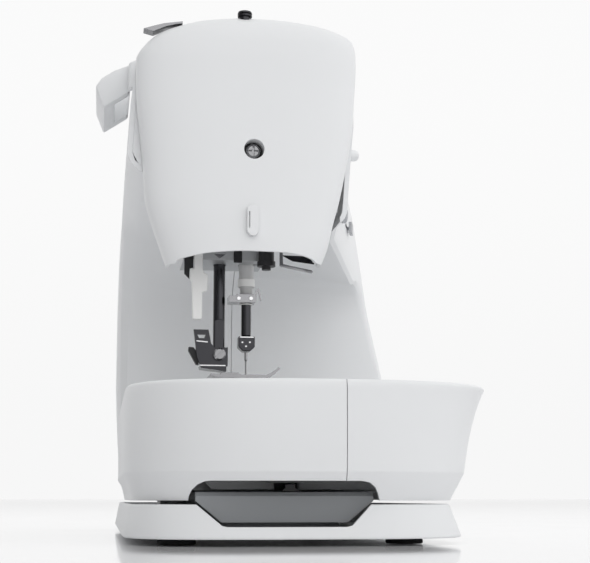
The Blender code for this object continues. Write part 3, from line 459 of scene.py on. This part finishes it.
def bowed_x(y, x_left, y_front, y_rear):
    """X of the bed's bowed left end at one Y."""
    middle = (y_front + y_rear) / 2
    half = (y_rear - y_front) / 2
    across = min(1.0, abs(y - middle) / half)
    return BOW_X - (BOW_X - x_left) * (1 - across**BOW_POWER) ** (1 / BOW_POWER)


def bed_level(z):
    """The wall's plan at a height: straight in the lower chamfer, then a smooth outward lean."""
    if z <= BED_CREASE:
        return [between(BED_LEVELS, z, column) for column in (1, 2, 3)]
    upper = [level for level in BED_LEVELS if level[0] >= BED_CREASE]
    return [smooth_between(upper, z, column) for column in (1, 2, 3)]


def bed_heights():
    heights = [BED_BOTTOM, BED_BOTTOM + 0.6, 28.0, 32.0, 36.0]
    heights += [BED_CREASE - 0.8, BED_CREASE - 0.3, BED_CREASE + 0.3]
    heights += [BED_CREASE + 0.8 + 2.3 * k for k in range(20)]
    heights += [87.0, 88.6, 89.6, 90.2, 90.7, 91.1, 91.4, BED_TOP]
    return sorted(set(round(z, 3) for z in heights))


def bed_skin(side, columns=72):
    """Points of the outer wall from the seam round the corner to the right end."""
    heights = bed_heights()
    seam = SEAM_Y + side * SEAM_GAP / 2
    rows = []
    for z in heights:
        x_left, front, rear = bed_level(z)
        edge = rear if side > 0 else front
        row = []
        for k in range(columns + 1):
            turn = math.pi / 2 * k / columns
            share = math.sin(turn)
            y = seam + (edge - seam) * share
            row.append((bowed_x(y, x_left, front, rear), y, z))
        for k in range(1, 9):
            row.append((BOW_X + (BOX_END_X - BOW_X) * k / 8, edge, z))
        rows.append(row)
    return rows


def inner_rows(rows, thickness):
    """The wall's inside face: each point moved square to its row's run in plan."""
    made = []
    for row in rows:
        inside = []
        for k, (x, y, z) in enumerate(row):
            before = row[max(k - 1, 0)]
            after = row[min(k + 1, len(row) - 1)]
            run = Vector((after[0] - before[0], after[1] - before[1], 0.0)).normalized()
            normal = Vector((-run.y, run.x, 0.0))
            if normal.dot(Vector((BOX_END_X - x, SEAM_Y - y, 0.0))) < 0:
                normal.negate()
            inside.append((x + normal.x * thickness, y + normal.y * thickness, z))
        made.append(inside)
    return made


def wall_piece(name, rows, thickness, body, look):
    """A closed wall from the rows of its outer face."""
    columns = len(rows[0])
    loop = rows + inner_rows(rows, thickness)[::-1]
    verts = [point for row in loop for point in row]
    faces = grid_faces(len(loop), columns)
    last = (len(loop) - 1) * columns
    faces += [(last + c, last + c + 1, c + 1, c) for c in range(columns - 1)]
    faces.append(tuple(r * columns for r in range(len(loop))))
    faces.append(tuple(r * columns + columns - 1 for r in range(len(loop))))
    obj = recalculated(mesh_object(name, verts, faces, body, look))
    return sharpened(obj, 32.0)


def grip_tool(look):
    """Cuts the finger grip out of the bed's left end."""
    return prism("grip_tool", GRIP, "X", -250.0, -200.0, None, look)


def build_bed(looks):
    """The box's smooth wall and the door's, with what stands inside the box."""
    white = looks["shell_white"]
    thickness = 2.6
    box_wall = wall_piece("box_shell", bed_skin(1), thickness, "box", white)
    cut(box_wall, grip_tool(white))
    sharpened(box_wall, 32.0)
    door_wall = wall_piece("door_shell", bed_skin(-1), thickness, "door", white)
    cut(door_wall, grip_tool(white))
    sharpened(door_wall, 32.0)
    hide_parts("box_door")
    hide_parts("accessory_box")
    build_box_inside(looks)


def plan_path(level, inset, low_y, high_y, count=60):
    """Points of the bed's bowed end in plan, drawn in by an inset."""
    _, x_left, y_front, y_rear = level
    front = y_front + inset
    rear = y_rear - inset
    middle = (front + rear) / 2
    half = (rear - front) / 2
    path = []
    for k in range(count + 1):
        y = middle - half * math.cos(math.pi * k / count)
        if low_y <= y <= high_y:
            path.append((bowed_x(y, x_left + inset, front, rear), y))
    return path


def catch_tool(look):
    """The way for the base's catch, low in the middle of the box's inner end."""
    way = rectangle((-195.0, -4.0), (-175.0, 11.0))
    return prism("catch_way", way, "Z", 20.0, 34.6, None, look)


def build_box_inside(looks):
    """The box's deck, the cheeks beside the free arm, the inner end panel and the compartment floors."""
    white = looks["shell_white"]
    level = BED_LEVELS[-1]
    low_y, high_y = ARM_SLOT_Y
    front_edge = plan_path(level, 3.4, level[2], SEAM_Y - 1.0)
    rear_edge = plan_path(level, 0.9, SEAM_Y + 1.0, level[3])
    deck = [(BOX_END_X, front_edge[0][1])] + front_edge + rear_edge + [(BOX_END_X, rear_edge[-1][1])]
    deck += [(BOX_END_X, high_y), (ARM_SLOT_X, high_y), (ARM_SLOT_X, low_y), (BOX_END_X, low_y)]
    rounded(prism("box_deck", deck, "Z", 88.6, BED_TOP - 0.05, "box", white), 0.4, 2)
    thick = 2.4
    cheek = [
        (BOX_END_X, low_y), (ARM_SLOT_X, low_y), (ARM_SLOT_X, high_y), (BOX_END_X, high_y),
        (BOX_END_X, high_y + thick), (ARM_SLOT_X - thick, high_y + thick),
        (ARM_SLOT_X - thick, low_y - thick), (BOX_END_X, low_y - thick),
    ]
    cheeks = prism("box_cheeks", cheek, "Z", 30.5, 89.4, "box", white)
    cut(cheeks, catch_tool(white))
    panel = [(47.0, 31.0), (52.0, 36.5), (52.0, 89.4), (-54.0, 89.4), (-54.0, 36.5), (-50.0, 31.0)]
    end_panel = prism("box_panel", panel, "X", -189.0, -186.4, "box", white)
    cut(end_panel, catch_tool(white))
    front_floor = [
        (-187.0, low_y - 1), (-187.0, -82.0), (-165.0, -93.5), (BOX_END_X, -93.5), (BOX_END_X, low_y - 1),
    ]
    rear_floor = [(-160.0, high_y + 1), (-160.0, 91.0), (BOX_END_X, 91.0), (BOX_END_X, high_y + 1)]
    prism("box_front_floor", front_floor, "Z", 30.5, 32.9, "box", white)
    prism("box_rear_floor", rear_floor, "Z", 30.5, 32.9, "box", white)


# ---------------------------------------------------------------- the base


def base_ring(z, inset, count=72):
    """The base's plan at a height: a bowed left end and a right end with round corners."""
    part = (z - BASE_BOTTOM) / (BASE_TOP - BASE_BOTTOM)
    x_left = -226.5 + 8.0 * part + inset
    front = -103.6 + 6.4 * part + inset
    rear = 96.4 - 3.4 * part - inset
    right = 217.0 - 5.0 * part - inset
    middle = (front + rear) / 2
    half = (rear - front) / 2
    ring = []
    for outward, sideways in power_ring(count, 3.2):
        ring.append((BOW_X - (BOW_X - x_left) * outward, middle + half * sideways, z))
    corner = 20.0 - inset
    for start, y in ((-90, front + corner), (0, rear - corner)):
        for k in range(13):
            turn = math.radians(start + 7.5 * k)
            ring.append((right - corner + corner * math.cos(turn), y + corner * math.sin(turn), z))
    return ring


def build_base(looks):
    """The wide foot of the machine, a tray with a notch below the finger grip."""
    rings = [
        base_ring(BASE_BOTTOM, 1.2), base_ring(BASE_BOTTOM + 0.25, 0.5), base_ring(BASE_BOTTOM + 0.9, 0.1),
        base_ring(BASE_BOTTOM + 1.6, 0.0), base_ring(BASE_BOTTOM + 8.0, 0.0), base_ring(BASE_TOP - 1.1, 0.0),
        base_ring(BASE_TOP - 0.5, 0.15), base_ring(BASE_TOP - 0.1, 0.5), base_ring(BASE_TOP, 1.0),
        base_ring(BASE_TOP, 2.6), base_ring(BASE_FLOOR, 2.6),
    ]
    count = len(rings[0])
    verts = [point for ring in rings for point in ring]
    faces = grid_faces(len(rings), count, True)
    faces.append(tuple(range(count)))
    faces.append(tuple(range(len(verts) - count, len(verts))))
    tray = recalculated(mesh_object("base_shell", verts, faces, "machine", looks["base_white"]))
    cut(tray, prism("notch_tool", NOTCH, "X", -250.0, -200.0, None, looks["base_white"]))
    sharpened(tray, 32.0)
    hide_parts("base_tray")


# ---------------------------------------------------------------- the face cover


def face_point(z, outward, sideways):
    """A point of the face cover at a height and a place round its half oval."""
    rear = smooth_between(FACE_LEVELS, z, 1)
    front = smooth_between(FACE_LEVELS, z, 2)
    bulge = smooth_between(FACE_LEVELS, z, 3)
    middle = (front + rear) / 2
    half = (rear - front) / 2
    return (FACE_EDGE_X - bulge * outward, middle + half * sideways, z)


def build_face(looks):
    """The smooth shell of the needle end, open at the back and below, with its screw hole."""
    white = looks["shell_white"]
    columns = power_ring(96, 2.5)
    heights = [k / 40 for k in range(41)]
    top_z = FACE_LEVELS[-1][0]
    start_rows = []
    for outward, sideways in columns:
        z = 168.0
        for _ in range(8):
            z = smooth_between(FACE_RIM, face_point(z, outward, sideways)[1], 1)
        start_rows.append(z)
    rows = []
    for share in heights:
        row = []
        eased = 1 - (1 - share) ** 1.35
        for (outward, sideways), low in zip(columns, start_rows):
            z = low + (top_z - low) * eased
            row.append(face_point(z, outward, sideways))
        row.insert(0, (FACE_BACK_X, row[0][1], row[0][2]))
        row.append((FACE_BACK_X, row[-1][1], row[-1][2]))
        rows.append(row)
    last = rows[-1]
    middle = (last[0][1] + last[-1][1]) / 2
    for share, lift in ((0.7, 0.32), (0.4, 0.52), (0.12, 0.6)):
        row = []
        for x, y, z in last:
            row.append((FACE_BACK_X + (x - FACE_BACK_X) * share, middle + (y - middle) * share, z + lift))
        rows.append(row)
    verts = [point for row in rows for point in row]
    faces = grid_faces(len(rows), len(rows[0]))
    shell = mesh_object("face_shell", verts, faces, "machine", white)
    recalculated(shell)
    centre = Vector((0.0, 0.025, 0.24))
    outward_share = sum((f.center - centre).dot(f.normal) * f.area for f in shell.data.polygons)
    if outward_share < 0:
        shell.data.flip_normals()
    wall = shell.modifiers.new("wall", "SOLIDIFY")
    wall.thickness = 2.4 * MM
    wall.offset = -1.0
    wall.use_even_offset = True
    with bpy.context.temp_override(object=shell, active_object=shell, selected_objects=[shell]):
        bpy.ops.object.modifier_apply(modifier="wall")
    hole = turned(
        "hole_tool", [(-200.0, SCREW_HOLE_RADIUS), (-165.0, SCREW_HOLE_RADIUS)], "X", SCREW_HOLE, None, white
    )
    cut(shell, hole)
    cut(shell, turned("stud_tool", [(300.0, 3.8), (335.0, 3.8)], "Z", STUD_PLACE, None, white))
    sharpened(shell, 40.0)
    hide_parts("face_cover")
    build_screw_well(looks)


def build_screw_well(looks):
    """The sleeve behind the screw hole, so the hole has depth."""
    radius = SCREW_HOLE_RADIUS
    near, deep = -182.6, -168.0
    inner = radius - 0.05
    outer = radius + 1.0
    sleeve = [(near, inner), (near, outer), (deep, outer), (deep, inner)]
    turned("screw_well", sleeve, "X", SCREW_HOLE, "machine", looks["shell_white"], 64, True)
    floor = [(-173.6, radius - 0.1), (-172.8, radius - 0.1)]
    turned("screw_well_floor", floor, "X", SCREW_HOLE, "machine", looks["dark_plastic"], 64)


# ---------------------------------------------------------------- small fittings


def build_fittings(looks):
    """Small trim round the needle that the solids leave out, and painted highlights on the presser ankle's
    lower edge and the needle clamp's top edge, each riding on the piece it belongs to.
    """
    x, y = NEEDLE_PLACE
    plates = (
        (
            "guide_back_leaf", [(1.4, 175.3), (-19.9, 174.9), (-19.2, 170.0), (-5.7, 171.6)],
            GUIDE_LEAF_X, "machine", "chrome_dark",
        ),
        (
            "head_block", [(25.6, 178.7), (30.8, 178.7), (30.8, 170.5), (25.6, 170.5)],
            HEAD_FITTING_X, "machine", "dark_plastic",
        ),
        ("head_clip", [(42.9, 175.4), (35.9, 175.6), (39.4, 172.9)], HEAD_FITTING_X, "machine", "chrome"),
        (
            "ankle_line", [(52.6, 122.9), (45.4, 122.3), (45.5, 121.6), (52.4, 122.2)],
            ANKLE_FACE_X, "presser", "chrome_bright",
        ),
        # Painted highlight: a thin bright chrome strip where light catches the presser ankle's lower edge.
        (
            "ankle_edge_painted_highlight", [(50.0, 107.0), (34.2, 107.0), (34.2, 107.7), (50.2, 107.7)],
            ANKLE_FACE_X, "presser", "chrome_bright",
        ),
        # Painted highlight: a thin bright chrome strip for the light along the needle clamp's top edge.
        (
            "clamp_edge_painted_highlight", [(16.4, 126.0), (25.2, 126.0), (25.2, 125.3), (16.4, 125.3)],
            CLAMP_FACE_X, "needle_slide", "chrome_bright",
        ),
    )
    for name, outline, face, body, look in plates:
        prism(name, outline, "X", face - 0.5, face - 0.05, body, looks[look])
    dots = (
        ("clamp_dot_1", (23.6, 122.3), 0.7, CLAMP_FACE_X, "needle_slide"),
        ("clamp_dot_2", (18.9, 122.4), 0.7, CLAMP_FACE_X, "needle_slide"),
        ("clamp_dot_3", (21.3, 119.8), 0.7, CLAMP_FACE_X, "needle_slide"),
        ("threader_screw_1", (26.3, 149.9), 1.3, THREADER_FACE_X, "threader"),
        ("threader_screw_2", (18.6, 150.0), 1.3, THREADER_FACE_X, "threader"),
    )
    for name, centre, radius, face, body in dots:
        rise = [(face - 0.05, radius), (face - 0.5, radius), (face - 0.7, radius - 0.25)]
        turned(name, rise, "X", centre, body, looks["chrome_bright"], 24)
    collar = [(158.2, 4.95), (158.2, 5.4), (162.9, 5.4), (162.9, 4.95)]
    turned("threader_collar", collar, "Z", (x, y), "threader", looks["lever_white"], 48, True)
    ring = [(146.5, 3.3), (146.5, 4.0), (147.3, 4.0), (147.3, 3.3)]
    turned("threader_ring", ring, "Z", (x, y), "threader", looks["lever_white"], 48, True)
    root = [(90.0, 308.0), (98.0, 304.6), (98.0, 286.0), (90.0, 289.0)]
    rounded(prism("handle_root", root, "X", -126.0, -119.6, "machine", looks["shell_white"]), 1.6)


# ---------------------------------------------------------------- light, table and camera


def build_camera():
    """The camera, low on the rear side of the needle end and looking up along the machine."""
    data = bpy.data.cameras.new("camera")
    data.sensor_width = 36.0
    data.sensor_fit = "HORIZONTAL"
    data.lens = 78.16
    camera = bpy.data.objects.new("camera", data)
    place = Vector((-0.928, 0.1095, 0.026))
    tilt = math.radians(9.593)
    turn = math.radians(8.536)
    ahead = Vector((math.cos(tilt) * math.cos(turn), -math.cos(tilt) * math.sin(turn), math.sin(tilt)))
    camera.location = place
    camera.rotation_euler = ahead.to_track_quat("-Z", "Y").to_euler()
    bpy.context.scene.collection.objects.link(camera)
    bpy.context.scene.camera = camera
    return camera


def glow(tree, total, heading, start, end, gain):
    """Adds to the sky's strength round a heading, fading from the end cosine out to the start cosine."""
    place = add_node(tree, "ShaderNodeTexCoord")
    along = add_node(tree, "ShaderNodeVectorMath", operation="DOT_PRODUCT")
    along.inputs[1].default_value = Vector(heading).normalized()
    fade = add_node(tree, "ShaderNodeMapRange", interpolation_type="SMOOTHSTEP")
    fade.inputs["From Min"].default_value = start
    fade.inputs["From Max"].default_value = end
    fade.inputs["To Min"].default_value = 0.0
    fade.inputs["To Max"].default_value = gain
    adder = add_node(tree, "ShaderNodeMath", operation="ADD")
    linked(tree, place, "Generated", along, 0)
    linked(tree, along, "Value", fade, "Value")
    linked(tree, fade, "Result", adder, 0)
    if total:
        tree.links.new(total, adder.inputs[1])
    else:
        adder.inputs[1].default_value = SKY_BASE
    return adder.outputs[0]


def build_studio():
    """The table and the soft sky round it."""
    bpy.ops.mesh.primitive_plane_add(size=60.0, location=(0.0, 0.0, -0.0003))
    floor = bpy.context.active_object
    floor.name = "table"
    floor.data.materials.append(table_surface("table_surface"))
    world = bpy.data.worlds.new("studio")
    world.use_nodes = True
    tree = world.node_tree
    tree.nodes["Background"].inputs["Color"].default_value = (1.0, 1.0, 1.0, 1.0)
    total = None
    for term in SKY_TERMS:
        total = glow(tree, total, *term)
    tree.links.new(total, tree.nodes["Background"].inputs["Strength"])
    bpy.context.scene.world = world


def main():
    build_camera()
    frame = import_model()
    looks = build_looks()
    finish_nodes(frame, looks)
    build_bed(looks)
    build_base(looks)
    build_face(looks)
    build_fittings(looks)
    rounded(frame["nodes"]["carrying_handle"], 2.6, 4, 25.0)
    build_studio()
    scene = bpy.context.scene
    scene.view_settings.view_transform = "Standard"


main()
